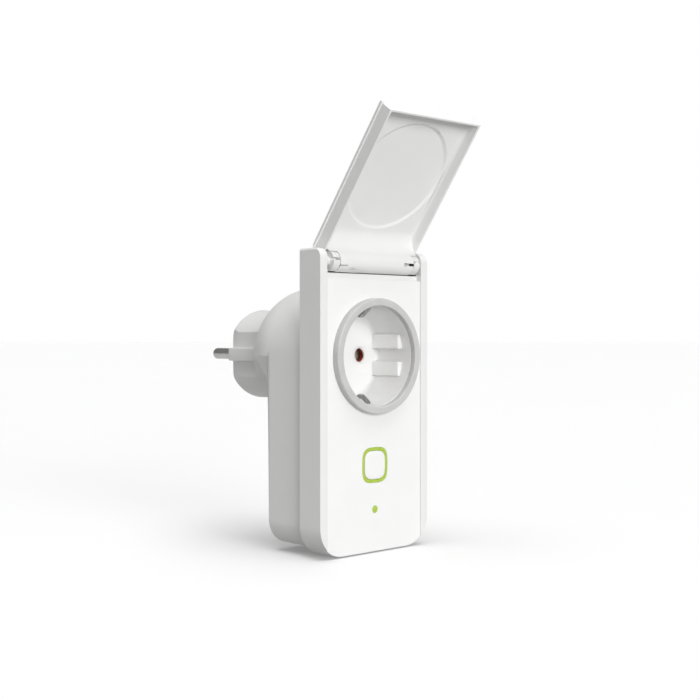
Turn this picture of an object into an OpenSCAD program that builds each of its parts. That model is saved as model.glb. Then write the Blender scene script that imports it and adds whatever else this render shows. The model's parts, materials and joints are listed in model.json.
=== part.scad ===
// Outdoor smart plug with a flip lid over a round earthed socket.
// Origin: centre of the plug face that meets the wall socket.
// +Z is up, the front looks along -Y, and the plug pins point along +Y.
// Depths are measured from the front rim of the case towards the wall.

/* [Case] */
// Width of the case
body_w = 60; // [56:0.5:66]
// Height of the case above the socket axis
body_top = 42; // [41:0.5:46]
// Depth of the case below the socket axis
body_bottom = 77.5; // [74:0.5:84]
// Depth of the front housing
front_d = 12; // [12:0.5:13]
// Depth of the rear housing's back wall
back_d = 34; // [33:0.5:36]
// Radius of the front housing's lower corners
corner_r = 12; // [8:0.5:14]
// Radius of the cheeks' upper front corners
cheek_r = 4; // [3:0.5:4.5]
// Step in from the front housing to the rear housing
rear_inset = 2; // [1.5:0.1:2.5]
// Wall thickness of the case
wall = 2; // [1.6:0.1:2.2]
// Width of the side cheek beside the panel
cheek_w = 3.9; // [3.5:0.1:4.5]
// Depth of the panel behind the front rim
panel_d = 0.6; // [0.6:0.1:1]

/* [Plug] */
// Radius of the round plug body
plug_r = 19; // [18.5:0.1:19.2]
// Depth of the plug face
face_d = 72.2; // [70:0.2:78]
// Radius of a plug pin
pin_r = 2.4; // [2.4:0.01:2.42]
// Length of a plug pin from the face
pin_len = 19; // [19:0.1:19.5]
// Distance between the pins
pin_gap = 19; // [19:0.1:19.1]
// Rounding radius of the shoulder round the plug
shoulder_r = 22; // [21:0.5:23]

/* [Socket] */
// Inner radius of the recess
recess_r = 19.8; // [19.6:0.1:20]
// Depth of the recess floor
floor_d = 19.2; // [18:0.1:19.6]
// Outer radius of the seal ring
ring_r = 23; // [22.5:0.1:23.5]
// Height of the seal ring in front of the rim
ring_proud = 2.6; // [2:0.1:2.8]
// Depth of the seal ring's inner wall
lip_t = 2.4; // [2:0.1:2.6]

/* [Lid] */
// Length of the lid below the hinge
lid_len = 65; // [62:0.5:66]
// Height of the lid's outer face above the hinge axis
lid_n = 9; // [8.8:0.1:9.2]
// Angle of the open lid forward of upright
lid_lean = 35.9; // [34:0.1:40]
// Depth of the hinge axis
hinge_d = 2.8; // [2.6:0.1:3]
// Height of the hinge axis
hinge_z = 37; // [36.8:0.1:37.2]

/* [Controls] */
// Height of the button's centre
button_z = -43.3; // [-45:0.1:-42]
// Outer size of the light ring
button_w = 14; // [13:0.1:15]
// Height of the indicator's centre
led_z = -60.9; // [-62:0.1:-59]

/* [Hidden] */
$fn = 96;

half_w = body_w / 2;
slot_w = half_w - cheek_w;          // half the width between the cheeks
rear_hw = half_w - rear_inset;      // half the rear housing's width
rear_bottom = body_bottom - rear_inset;
rear_corner = corner_r - rear_inset;
pin_x = pin_gap / 2;
sill_z = hinge_z - 4.3;             // ledge under the hinge barrel
panel_top = sill_z - 2.3;
pocket_d = 9.7;                     // rear wall of the hinge pocket
back_wall = 1.8;                    // front housing's own back wall
panel_t = 2;
cup_r = recess_r + 1.6;             // outside of the recess cup
cup_front = 0.1 - ring_proud + lip_t; // cup rim, behind the ring's lip
floor_t = 2;
hole_r = 2.7;                       // pin holes in the recess floor
clip_hw = 1.2;                      // half the width of an earth clip's arm
rib_w = 5.4;                        // keyway rib and its gap
key_w = 17;                         // full width of a keyway
key_in = 17;                        // distance of a keyway's blocks from the axis
key_front = 4.4;                    // depth of their front ends
flat_x = 16.5;                      // keyway floor on the plug
plug_d = 39;                        // depth where the plug body begins, inside the case
key_d = 53.5;                       // depth where the plug's keyways begin
strip_d = 55.6;                     // depth where its earth strips come out
flange_w = 1.5;                     // rim that holds the plug body in the shoulder
flange_d = back_d + sqrt(pow(shoulder_r - wall, 2) - pow(plug_r + flange_w - rear_hw + shoulder_r, 2));
lead_l = 5.3;                       // length and height of their sloping ends
lead_t = 1.5;
seam = 0.5;                         // gasket between the two housings
back_round = 2;                     // rounding of the rear housing's back edge

pin_d = 42;                         // depth of the pins' inner ends
shank_r = 2;                        // radius of the pins inside the plug body
shank_end = face_d + 0.2;
bar_d = 42.4;                       // depth of the bars on the pins
load_d = 38.8;                      // depth of the bars on the tulips
earth_d = 38;                       // depth of the earth bars' outer ends
bar_t = 0.8;                        // thickness of every bar

power_d = 14;                       // depth of the power board
power_t = 1.6;
board_back = power_d + power_t;
board_d = 7.6;                      // depth of the control board
board_t = 1.2;
board_top = -25;                    // upper edge of both boards
led_face = board_d - 0.7;           // front of the status lights

cap_w = button_w - 2.7;             // button cap inside its light ring

rim_n = hinge_d - panel_d + 0.25;   // free edge of the lid's walls, clear of the panel when shut
skin_n = lid_n - 1.8;               // inner face of the lid's floor
lid_hw = slot_w - 0.3;
lid_wall = 1.5;
dish_t = 0.7;                       // depth of the round dish in the lid's floor
dish_r = 23.7;
dish_slope = 1.5;                   // width of the dish's sloping wall
dish_s = 35.4;                      // distance of the dish from the hinge axis
barrel_r = 4.2;
barrel_hw = 20.4;
knuckle_r = 4;                      // case's own knuckles beside the barrel
knuckle_hw = 24;                    // their outer ends
fill_r = 7;                         // hollow fillet from the barrel to the lid's floor
fill_s = sqrt(pow(barrel_r + fill_r, 2) - pow(skin_n - fill_r, 2));

// Screw bosses, in X and Z
screw_at = [[-20, -66], [20, -66], [-23.4, -24], [23.4, -24]];
screw_r = 1.1;                      // radius of a screw's shank
head_r = 2.7;                       // radius of its head
head_d = back_d - 2;                // depth where its head sits
boss_r = 2.9;                       // front housing's bosses, and the room for a head
tube_r = 3.6;                       // rear housing's tubes round the screws
screw_gap_r = 1.5;                  // hole a screw passes through

// Row position of a depth measured from the front rim
function y_at(d) = d - face_d;

// Extrudes an outline drawn in X and Z from depth d0 to depth d1
module slab(d0, d1) {
  translate([0, y_at(d1), 0]) rotate([90, 0, 0]) linear_extrude(d1 - d0) children();
}

// Turns a profile drawn as [radius, depth] round an axis along Y
module turned(fn = 96) {
  translate([0, y_at(0), 0]) rotate([-90, 0, 0]) rotate_extrude($fn = fn) children();
}

// Rounded rectangle from its corners, with its own radius at the top and bottom
module rounded(x0, z0, x1, z1, rt, rb) {
  union() {
    translate([x0, z0 + rb]) square([x1 - x0, z1 - z0 - rb - rt]);
    translate([x0 + rb, z0]) square([x1 - x0 - 2 * rb, rb + 0.01]);
    translate([x0 + rt, z1 - rt - 0.01]) square([x1 - x0 - 2 * rt, rt + 0.01]);
    for (x = [x0 + rb, x1 - rb]) translate([x, z0 + rb]) circle(rb);
    for (x = [x0 + rt, x1 - rt]) translate([x, z1 - rt]) circle(rt);
  }
}

// Outline of the front housing, drawn in by g
module front_outline(g = 0) {
  rounded(-half_w + g, -body_bottom + g, half_w - g, body_top - g, max(1.2 - g, 0.4), corner_r - g);
}

// Outline of the rear housing, round at the top and drawn in by g
module rear_outline(g = 0) {
  union() {
    circle(rear_hw - g);
    rounded(-rear_hw + g, -rear_bottom + g, rear_hw - g, 0.5, 0.4, rear_corner - g);
  }
}

// Box by depths and by X and Z limits
module block(x0, x1, d0, d1, z0, z1) {
  translate([x0, y_at(d0), z0]) cube([x1 - x0, d1 - d0, z1 - z0]);
}

// Cylinder along Y
module rod_y(x, z, r, d0, d1, fn = 48) {
  translate([x, y_at(d1), z]) rotate([90, 0, 0]) cylinder(r = r, h = d1 - d0, $fn = fn);
}

// Cylinder along X
module rod_x(d, z, r, x0, x1, fn = 48) {
  translate([x0, y_at(d), z]) rotate([0, 90, 0]) cylinder(r = r, h = x1 - x0, $fn = fn);
}

// ---- Case -------------------------------------------------------------

module front_housing() {
  color("white") union() {
    difference() {
      slab(0, front_d) front_outline();
      block(-slot_w, slot_w, -1, panel_d + panel_t, -body_bottom - 1, panel_top);
      intersection() {
        union() {
          slab(panel_d + panel_t - 0.01, front_d - back_wall) front_outline(wall);
          slab(front_d - back_wall - 0.01, front_d + 1) rear_outline(wall);
        }
        block(-half_w, half_w, 0, front_d + 2, -body_bottom, panel_top - 1.6);
      }
      block(-slot_w, slot_w, -1, pocket_d, sill_z, body_top + 1);
      block(-slot_w, slot_w, -1, 2.5, panel_top - 0.01, sill_z + 0.01);
      rod_x(hinge_d, hinge_z, 1.02, -half_w + 1.4, half_w - 1.4);
      difference() {
        block(-half_w - 1, half_w + 1, -1, cheek_r, body_top - cheek_r, body_top + 1);
        rod_x(cheek_r, body_top - cheek_r, cheek_r, -half_w - 2, half_w + 2, 64);
      }
    }
    for (p = screw_at) difference() {
      rod_y(p[0], p[1], boss_r, panel_d + panel_t, front_d);
      rod_y(p[0], p[1], screw_r, 5, front_d + 1);
    }
  }
}

// Front panel between the cheeks, flush with the lower edge of the case
module front_panel() {
  color("whitesmoke") difference() {
    intersection() {
      slab(panel_d, panel_d + panel_t) front_outline();
      block(-slot_w + 0.05, slot_w - 0.05, 0, 9, -body_bottom, panel_top - 0.05);
    }
    rod_y(0, 0, cup_r + 0.1, 0, 9, 96);
    translate([0, 0, button_z]) slab(0, 9) squircle(button_w + 0.1);
    rod_y(0, led_z, 1.55, 0, 9);
  }
}

module rear_housing() {
  color("gainsboro") difference() {
    union() {
      slab(front_d + seam, back_d - back_round) rear_outline();
      rear_edge(0);
      shoulder(0);
    }
    slab(front_d, back_d - wall - back_round + 1) rear_outline(wall);
    rear_edge(wall);
    shoulder(wall);
    turned(128) square([plug_r + 0.05, face_d]);
    screw_holes();
  }
  color("gainsboro") difference() {
    for (p = screw_at) rod_y(p[0], p[1], tube_r, front_d + seam, back_d - 1);
    screw_holes();
  }
}

// Holes for the screws and their heads
module screw_holes() {
  for (p = screw_at) {
    rod_y(p[0], p[1], screw_gap_r, front_d, back_d + 1);
    rod_y(p[0], p[1], boss_r, head_d, back_d + 5);
  }
}

// Rounded back edge of the rear housing, in shallow steps
module rear_edge(g) {
  steps = 4;
  for (i = [0:steps - 1]) {
    a0 = 90 * i / steps;
    a1 = 90 * (i + 1) / steps;
    slab(back_d - back_round + back_round * sin(a0) - (g > 0 ? g : 0) - 0.01,
         back_d - back_round + back_round * sin(a1) - (g > 0 ? g : 0))
      rear_outline(g + back_round * (1 - cos(a0 * 0.75 + a1 * 0.25)));
  }
}

// Round shoulder from the case to the plug
module shoulder(g) {
  turned(128) intersection() {
    translate([rear_hw - shoulder_r, back_d]) circle(shoulder_r - g);
    translate([0, back_d - 3]) square([rear_hw + 1, shoulder_r + 4]);
  }
}

module case_gasket() {
  color("dimgray") difference() {
    slab(front_d, front_d + seam) rear_outline(0.3);
    slab(front_d - 1, front_d + 1) rear_outline(wall - 0.1);
  }
}

module case_screws() {
  color("silver") for (p = screw_at) {
    rod_y(p[0], p[1], screw_r, 6, head_d);
    difference() {
      rod_y(p[0], p[1], head_r, head_d, back_d - 0.4);
      for (a = [0, 90]) translate([p[0], y_at(back_d - 0.8), p[1]]) rotate([0, a, 0])
        cube([3, 1.6, 0.6], center = true);
    }
  }
}

// ---- Socket -----------------------------------------------------------

module socket_cup() {
  color("white") difference() {
    union() {
      difference() {
        turned() translate([0, cup_front]) square([cup_r, floor_d + floor_t - cup_front]);
        turned() translate([0, cup_front - 1]) square([recess_r, floor_d - cup_front + 1]);
      }
      for (s = [-1, 1]) intersection() {
        turned() translate([0, key_front]) square([cup_r - 0.5, floor_d + 0.4 - key_front]);
        difference() {
          block(s > 0 ? key_in : -30, s > 0 ? 30 : -key_in, key_front, floor_d + 0.5, -key_w / 2, key_w / 2);
          block(-30, 30, 2, floor_d, -rib_w / 2, rib_w / 2);
        }
      }
    }
    for (s = [-1, 1]) {
      rod_y(s * pin_x, 0, hole_r, floor_d - 2, floor_d + 4);
      rod_y(s * pin_x, 0, hole_r + 1.3, floor_d + 0.9, floor_d + 4);
      block(-clip_hw - 0.5, clip_hw + 0.5, 3.2, floor_d + 5, s > 0 ? 17.2 : -21.8, s > 0 ? 21.8 : -17.2);
    }
    rod_y(0, 0, 1.6, floor_d + 0.9, floor_d + 4);
  }
}

module socket_ring() {
  color("lightgray") turned() union() {
    translate([cup_r + 0.1, -ring_proud]) square([ring_r - cup_r - 0.1, panel_d + ring_proud - 0.02]);
    translate([recess_r + 0.2, -ring_proud]) square([ring_r - recess_r - 0.2, lip_t]);
  }
}

// Earth bow: a strip behind the floor with an arm in each slot
module socket_earth_bow() {
  arm = [[21.2, 24.4], [21.2, 14.4], [15.9, 9.9], [15.4, 8.8], [15.9, 7.7], [18.4, 4.4],
         [19.3, 4.4], [16.8, 7.9], [16.4, 8.8], [16.8, 9.6], [22, 14], [22, 24.4]];
  color("goldenrod") {
    for (s = [0, 1]) mirror([0, 0, s])
      translate([-clip_hw, y_at(0), 0]) rotate([90, 0, 90]) linear_extrude(2 * clip_hw)
        polygon([for (p = arm) [p[1], p[0]]]);
    difference() {
      block(-2.5, 2.5, 23.6, 24.4, -21.3, 21.3);
      rod_y(0, 0, 3.4, 20, 30);
    }
  }
}

// Slit tulip contact for one pin, closed where its bar lies
module tulip(x) {
  bore_r = pin_r + 0.1;
  color("goldenrod") difference() {
    rod_y(x, 0, bore_r + 0.8, 26.4, load_d);
    rod_y(x, 0, bore_r, 25, load_d - 0.3);
    block(x - 0.5, x + 0.5, 25, 36, -5, 5);
  }
}
module live_contact() { tulip(pin_x); }
module neutral_contact() { tulip(-pin_x); }

// Insulating block that carries both tulips
module contact_block() {
  color("ivory") difference() {
    slab(25.4, load_d) rounded(-15.5, -6.5, 15.5, 6.5, 3, 3);
    for (s = [-1, 1]) rod_y(s * pin_x, 0, 3.4, 24, 40);
  }
}

// Turning shutter that partly covers both pin holes until a plug turns it
module shutter() {
  front = floor_d + floor_t + 0.25;
  reach = pin_x + 3;
  arm_hw = 3.2;
  color("orangered") difference() {
    union() {
      rod_y(0, 0, 4.2, front, front + 1.65);
      for (a = [0, 180]) rotate([0, a, 0]) union() {
        block(0, reach, front, front + 1.45, -arm_hw, arm_hw);
        rod_y(reach, 0, arm_hw, front, front + 1.45);
      }
    }
    rod_y(0, 0, 1.56, 20, 30);
    for (a = [0, 180]) rotate([0, a, 0]) rod_y(pin_x + 1.3, 0, 2.5, 20, 30);
  }
}

module shutter_pivot() {
  color("silver") rod_y(0, 0, 1.5, floor_d + 1, 25.2);
}

// Round wire wound into a helix along Y, from depth d
module coil(x, z, r, wire, turns, pitch, d) {
  sides = 6;
  steps = 20;
  rings = turns * steps;
  points = [for (i = [0:rings], j = [0:sides - 1])
    let (a = 360 * i / steps, b = 360 * j / sides, q = r + wire * cos(b))
      [q * cos(a), i * pitch / steps + wire * sin(b), q * sin(a)]];
  walls = [for (i = [0:rings - 1], j = [0:sides - 1])
    let (k = i * sides, m = (j + 1) % sides) [k + j + sides, k + m + sides, k + m, k + j]];
  ends = [[for (j = [0:sides - 1]) j], [for (j = [sides - 1:-1:0]) rings * sides + j]];
  translate([x, y_at(d) + wire, z]) polyhedron(points, concat(walls, ends));
}

module shutter_spring() {
  color("silver") coil(0, 0, 2.3, 0.16, 3, 0.45, floor_d + floor_t + 2.05);
}

// ---- Plug -------------------------------------------------------------

module plug_body() {
  edge = 3;
  color("gainsboro") difference() {
    union() {
      turned(128) union() {
        translate([0, plug_d]) square([plug_r, face_d - edge - plug_d]);
        translate([0, face_d - edge - 1]) square([plug_r - edge, edge + 1]);
        translate([plug_r - edge, face_d - edge]) intersection() {
          circle(edge);
          square(edge + 1);
        }
      }
      turned(128) translate([0, flange_d - 2]) square([plug_r + flange_w - 0.1, 2]);
    }
    for (sx = [0, 1], sz = [0, 1]) mirror([sx, 0, 0]) mirror([0, 0, sz])
      translate([0, y_at(0), rib_w / 2]) linear_extrude(12) polygon([
        [flat_x, key_d], [flat_x, face_d - lead_l], [flat_x - lead_t, face_d],
        [flat_x - lead_t, face_d + 1], [plug_r + 1, face_d + 1], [plug_r + 1, key_d]]);
    for (s = [-1, 1]) {
      rod_y(s * pin_x, 0, shank_r, 30, face_d + 1, 64);
      rod_y(s * pin_x, 0, pin_r + 0.05, face_d - 0.6, face_d + 1, 64);
    }
    for (s = [-1, 1])
      block(-3.1, 3.1, strip_d - 0.6, face_d - 3.2, s > 0 ? 17.4 : -20, s > 0 ? 20 : -17.4);
    for (s = [-1, 1])
      block(-2.1, 2.1, plug_d - 1, strip_d, s > 0 ? 17.4 : -18.6, s > 0 ? 18.6 : -17.4);
    turned() translate([0, plug_d - 1]) square([16.4, 8]);
    turned() translate([0, plug_d]) square([6.2, 17]);
  }
}

module plug_pin(x) {
  tip = 1.6;
  color("silver") translate([x, y_at(0), 0]) rotate([-90, 0, 0]) rotate_extrude($fn = 64) union() {
    translate([0, pin_d]) square([shank_r, shank_end - pin_d + 1]);
    translate([0, shank_end]) square([pin_r, face_d + pin_len - tip - shank_end]);
    translate([0, face_d + pin_len - tip - 0.5]) square([pin_r - tip, tip + 0.5]);
    translate([pin_r - tip, face_d + pin_len - tip]) intersection() {
      circle(tip);
      square(tip + 1);
    }
  }
}
module live_pin() { plug_pin(pin_x); }
module neutral_pin() { plug_pin(-pin_x); }

module plug_earth_strips() {
  color("silver") for (s = [0, 1]) mirror([0, 0, s]) union() {
    block(-2.9, 2.9, strip_d, face_d - 3.6, 17.5, 18.4);
    block(-2, 2, earth_d + bar_t, strip_d + 0.1, 17.5, 18.4);
  }
}

// ---- Conductors -------------------------------------------------------

// Flat bar across a pin or a tulip
module bar(x0, x1, d, z0, z1) { block(x0, x1, d, d + bar_t, z0, z1); }

// Strip from a bar's lower end forward, down and on to the power board
module strip(x0, x1, d_from, d_down, z_from, z_to) {
  block(x0, x1, d_down, d_from + bar_t, z_from - bar_t, z_from);
  block(x0, x1, d_down, d_down + bar_t, z_to, z_from);
  block(x0, x1, board_back, d_down + bar_t, z_to - bar_t, z_to);
}

// Bar clamped on a plug pin, with its strip to the power board
module supply(side) {
  mirror([side < 0 ? 1 : 0, 0, 0]) {
    difference() {
      bar(pin_x - 3.4, pin_x + 3.4, bar_d, -9, 3.6);
      rod_y(pin_x, 0, shank_r, 30, 45, 64);
    }
    strip(pin_x - 3.4, pin_x - 0.4, bar_d, 29, -9, -26.4);
  }
}

module live_supply_bar() { color("goldenrod") supply(1); }

module live_load_bar() {
  color("goldenrod") union() {
    bar(pin_x - 3, pin_x + 3, load_d, -7.4, 3.2);
    strip(pin_x + 1, pin_x + 3, load_d, 26.4, -7.4, -29.2);
  }
}

module neutral_bar() {
  color("goldenrod") union() {
    supply(-1);
    bar(-pin_x - 3, -pin_x + 3, load_d, -9, 3.2);
    block(-pin_x - 3, -pin_x, load_d, bar_d + bar_t, -9 - bar_t, -9);
  }
}

// Bars from the earth bow to the two earth strips of the plug
module earth_bars() {
  color("goldenrod") for (s = [0, 1]) mirror([0, 0, s]) union() {
    block(-1, 1, 24.4, earth_d + bar_t, 14.4, 14.4 + bar_t);
    block(-2, 2, earth_d, earth_d + bar_t, 14.4, 18.4);
  }
}

// ---- Electronics ------------------------------------------------------

module board_outline(top) {
  difference() {
    rounded(-25, -71.5, 25, top, 1, 7);
    for (p = screw_at) translate(p) circle(4.1);
  }
}

module control_board() {
  color("darkgreen") slab(board_d, board_d + board_t) board_outline(board_top);
}

module power_board() {
  color("darkgreen") slab(power_d, board_back) board_outline(board_top);
}

module board_header() {
  color("black") block(-10.2, 10.2, board_d + board_t, power_d, -70, -67.6);
}

module relay() {
  color("steelblue") block(2, 21, board_back, board_back + 14.6, -48.5, -33.2);
}

module transformer() {
  color("gold") union() {
    block(-20, -4, board_back, power_d + 3.2, -51, -35.4);
    block(-18.4, -5.6, power_d + 3.2, power_d + 12, -49.4, -37);
    block(-20, -4, power_d + 12, power_d + 13.6, -51, -35.4);
  }
}

module bulk_capacitors() {
  color("black") for (x = [-11.5, -4.5])
    rod_y(x, -60.5, 3.1, board_back, power_d + 13.6);
}

module film_capacitor() {
  color("khaki") block(4, 16, board_back, power_d + 11, -58.6, -52.6);
}

module varistor() {
  color("dodgerblue")
    block(-4, 4, board_back, board_back + 9, -32, -28.6);
}

module fuse() {
  color("tan") translate([0, y_at(power_d + 4.4), -54.6]) rotate([0, 90, 0])
    translate([0, 0, -21]) cylinder(r = 2.2, h = 9);
}

module choke() {
  color("saddlebrown") rod_y(8, -65.8, 4, board_back, power_d + 9.5);
}

module radio_module() {
  color("silver") union() {
    block(-9, 9, board_d - 0.8, board_d, -35.4, -27);
    block(-8.2, 3, board_d - 2.6, board_d - 0.8, -34.8, -27.6);
  }
}

module status_leds() {
  color("ivory") union() {
    for (s = [[-6.4, 0], [6.4, 0], [0, 6.4], [0, -6.4]])
      block(s[0] - 0.8, s[0] + 0.8, led_face, board_d, button_z + s[1] - 0.8, button_z + s[1] + 0.8);
    block(-0.8, 0.8, led_face, board_d, led_z - 0.8, led_z + 0.8);
  }
}

// ---- Controls ---------------------------------------------------------

// Square with bowed sides and round corners
module squircle(w) {
  n = 3.6;
  polygon([for (a = [0:5:355])
    w / 2 * [sign(cos(a)) * pow(abs(cos(a)), 2 / n), sign(sin(a)) * pow(abs(sin(a)), 2 / n)]]);
}

module button_cap() {
  color("white") translate([0, 0, button_z]) union() {
    slab(panel_d - 0.2, 3.1) squircle(cap_w);
    slab(3.1, 3.8) squircle(cap_w + 1.8);
    slab(3.8, 4.3) circle(1.6);
  }
}

module button_light_ring() {
  color("yellowgreen") translate([0, 0, button_z]) difference() {
    union() {
      slab(panel_d, panel_d + 2) squircle(button_w);
      slab(panel_d + 2, 6.6) squircle(button_w + 1.6);
    }
    slab(0, 3.0) squircle(button_w - 2.4);
    slab(2.99, 9) squircle(button_w - 0.3);
  }
}

module button_spring() {
  color("silver") coil(0, button_z, 4.9, 0.22, 4, 0.72, 3.85);
}

module led_lens() {
  color("yellowgreen") union() {
    rod_y(0, led_z, 1.5, panel_d - 0.1, 3.2);
    rod_y(0, led_z, 2.1, 3.2, 6.6);
  }
}

module tact_switch() {
  color("dimgray") difference() {
    block(-3, 3, 5.2, board_d, button_z - 3, button_z + 3);
    rod_y(0, button_z, 1.3, 5.9, 6.9);
    rod_y(0, button_z, 1.15, 4, 6);
  }
}

module switch_plunger() {
  color("black") rod_y(0, button_z, 1, 4.34, 6.0);
}

// ---- Lid, drawn open ----------------------------------------------------

// Places a piece drawn in X, n (out of the lid) and s (along the lid)
module lid_place() {
  translate([0, y_at(hinge_d), hinge_z]) rotate([lid_lean, 0, 0]) children();
}

// Extrudes an outline drawn in n and s across the width
module across(x0, x1) {
  translate([x0, 0, 0]) rotate([90, 0, 90]) linear_extrude(x1 - x0) children();
}

// Side outline of the lid: square at the free end, round at the hinge
module lid_side(g = 0) {
  r = 2.5;
  union() {
    translate([rim_n - g * 9, r]) square([lid_n - g - rim_n + g * 9, lid_len - g - r]);
    translate([rim_n - g * 9, g]) square([lid_n - r - rim_n + g * 9, r]);
    translate([lid_n - r, r]) intersection() {
      circle(r - g);
      translate([0, -r]) square([r, 2 * r]);
    }
  }
}

module lid_shell() {
  color("white") lid_place() difference() {
    union() {
      difference() {
        across(-lid_hw, lid_hw) lid_side();
        across(-lid_hw + lid_wall, lid_hw - lid_wall)
          translate([-9, 2]) square([skin_n + 9, lid_len - 2 - lid_wall]);
        translate([0, skin_n - 0.01, dish_s]) rotate([-90, 0, 0])
          cylinder(r1 = dish_r, r2 = dish_r - dish_slope, h = dish_t);
      }
      across(-barrel_hw, barrel_hw) circle(barrel_r);
      across(-lid_hw + 0.5, lid_hw - 0.5) difference() {
        square([skin_n + 0.5, fill_s]);
        translate([skin_n - fill_r, fill_s]) circle(fill_r);
      }
    }
    rotate([0, 90, 0]) cylinder(r = 1.05, h = 80, center = true, $fn = 48);
    for (s = [0, 1]) mirror([s, 0, 0]) across(barrel_hw, lid_hw - lid_wall) circle(knuckle_r + 0.25);
    for (s = [0, 1]) mirror([s, 0, 0]) across(lid_hw - lid_wall - 0.1, half_w) circle(rim_n);
  }
}

module hinge_pin() {
  color("silver") rod_x(hinge_d, hinge_z, 1, -half_w + 1.6, half_w - 1.6);
}

// Knuckles of the case, one at each end of the lid's barrel
module hinge_bushes() {
  color("whitesmoke") for (s = [0, 1]) mirror([s, 0, 0]) difference() {
    union() {
      rod_x(hinge_d, hinge_z, knuckle_r, barrel_hw + 0.3, knuckle_hw);
      rod_x(hinge_d, hinge_z, 1.8, knuckle_hw - 0.5, slot_w - 0.05);
    }
    rod_x(hinge_d, hinge_z, 1.0, 10, 30);
    block(barrel_hw, knuckle_hw + 1, -5, 1, hinge_z + 0.2, hinge_z + 1.3);
  }
}

front_housing();
front_panel();
rear_housing();
case_gasket();
case_screws();
socket_cup();
socket_ring();
socket_earth_bow();
live_contact();
neutral_contact();
contact_block();
shutter();
shutter_pivot();
shutter_spring();
plug_body();
live_pin();
neutral_pin();
plug_earth_strips();
live_supply_bar();
live_load_bar();
neutral_bar();
earth_bars();
control_board();
power_board();
board_header();
relay();
transformer();
bulk_capacitors();
film_capacitor();
varistor();
fuse();
choke();
radio_module();
status_leds();
button_cap();
button_light_ring();
button_spring();
led_lens();
tact_switch();
switch_plunger();
lid_shell();
hinge_pin();
hinge_bushes();
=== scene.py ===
"""Looks of the outdoor smart plug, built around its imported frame.

Depth d is measured in millimetres from the front rim of the case towards the wall,
x to the right and z up from the socket axis. The lid has its own directions: n out of
the lid, s along it from the hinge.
"""

import json
import math

import bmesh
import bpy
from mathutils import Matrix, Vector


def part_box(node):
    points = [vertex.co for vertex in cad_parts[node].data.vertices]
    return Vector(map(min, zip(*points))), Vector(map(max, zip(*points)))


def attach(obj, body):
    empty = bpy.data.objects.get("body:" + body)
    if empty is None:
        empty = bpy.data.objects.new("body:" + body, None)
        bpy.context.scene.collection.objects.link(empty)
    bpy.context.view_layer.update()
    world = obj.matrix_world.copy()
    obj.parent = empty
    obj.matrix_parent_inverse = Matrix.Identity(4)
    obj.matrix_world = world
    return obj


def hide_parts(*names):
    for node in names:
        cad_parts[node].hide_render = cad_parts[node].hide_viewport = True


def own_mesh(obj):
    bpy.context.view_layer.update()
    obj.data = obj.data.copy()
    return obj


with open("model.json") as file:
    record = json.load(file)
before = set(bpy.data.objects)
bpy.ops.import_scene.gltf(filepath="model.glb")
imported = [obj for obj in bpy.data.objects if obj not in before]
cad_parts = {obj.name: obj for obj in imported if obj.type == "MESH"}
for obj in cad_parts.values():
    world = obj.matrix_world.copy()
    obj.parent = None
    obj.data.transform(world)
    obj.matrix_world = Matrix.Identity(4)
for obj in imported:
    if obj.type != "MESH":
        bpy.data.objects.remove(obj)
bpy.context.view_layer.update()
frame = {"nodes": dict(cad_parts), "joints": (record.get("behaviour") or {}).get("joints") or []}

MM = 0.001
TAU = 2 * math.pi

# ---- Places read from the frame ------------------------------------------------

joints = {j["name"]: j for j in frame["joints"]}
hinge_at = Vector(joints["lid_hinge"]["pos_m"])
LEAN = math.radians(180 - joints["lid_hinge"]["range_deg"][1])

front_low, front_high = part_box("front_housing")
panel_low, panel_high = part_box("front_panel")
rear_low, rear_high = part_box("rear_housing")
pin_low, pin_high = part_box("live_pin")
rim_y = front_low.y


def depth(y):
    """Depth from the front rim, in millimetres, of a coordinate of the frame."""
    return (y - rim_y) / MM


def middle_z(node):
    """Height of a node's middle, in millimetres."""
    low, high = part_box(node)
    return (low.z + high.z) / 2 / MM


HALF_W = front_high.x / MM
TOP = front_high.z / MM
BOTTOM = -front_low.z / MM
FRONT_D = depth(front_high.y)
SLOT_W = panel_high.x / MM + 0.05
PANEL_TOP = panel_high.z / MM + 0.05
PANEL_D = depth(panel_low.y)
REAR_HW = rear_high.x / MM
REAR_BOTTOM = -rear_low.z / MM
FACE_D = depth(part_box("plug_body")[1].y)
TIP_D = depth(pin_high.y)
PIN_X = (pin_low.x + pin_high.x) / 2 / MM
PIN_R = (pin_high.x - pin_low.x) / 2 / MM
RING_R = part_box("socket_ring")[1].x / MM
RING_D = depth(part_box("socket_ring")[0].y)
BUTTON_Z = middle_z("button_light_ring")
LED_Z = middle_z("led_lens")
LID_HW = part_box("lid_shell")[1].x / MM
HINGE_D = depth(hinge_at.y)

# ---- Design values, in millimetres ---------------------------------------------

# case: walls, corners, panel, hinge pocket, back and shoulder
WALL = 2.0
CORNER_R = 12.0
TOP_CORNER_R = 1.2
REAR_CORNER = 10.0
CHEEK_R = 4.0
PANEL_T = 2.0
ROOF_T = 1.6
SILL_Z = hinge_at.z / MM - 4.3
SILL_D = 2.5
POCKET_D = 9.7
AXLE_R = 1.03
BACK_D = 34.0
BACK_ROUND = 2.0
SHOULDER_R = 22.0
SEAM = 0.5

# case screws: bosses in front, tubes and head sinks behind
SCREWS = [(-20, -66), (20, -66), (-23.4, -24), (23.4, -24)]
BOSS_R = 2.9
BOSS_HOLE_R = 1.1
TUBE_R = 3.6
SCREW_GAP_R = 1.5
SINK_R = 2.9
SINK_T = 2.0

# socket recess and its seal
CUP_R = 21.4
RECESS_R = 19.8
FLOOR_D = 19.2
HOLE_R = 2.7
WELL_R = HOLE_R + 1.3
PIVOT_GAP_R = 1.6
KEY_IN = 17.0
KEY_HALF = 8.5
KEY_FRONT = 4.4
RIB_HALF = 2.7
CLIP_HW = 1.7
LIP_T = 2.4

# button, its light ring and the indicator
RING_W = 14.0
LED_R = 1.5
BOARD_D = 6.6

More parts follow.
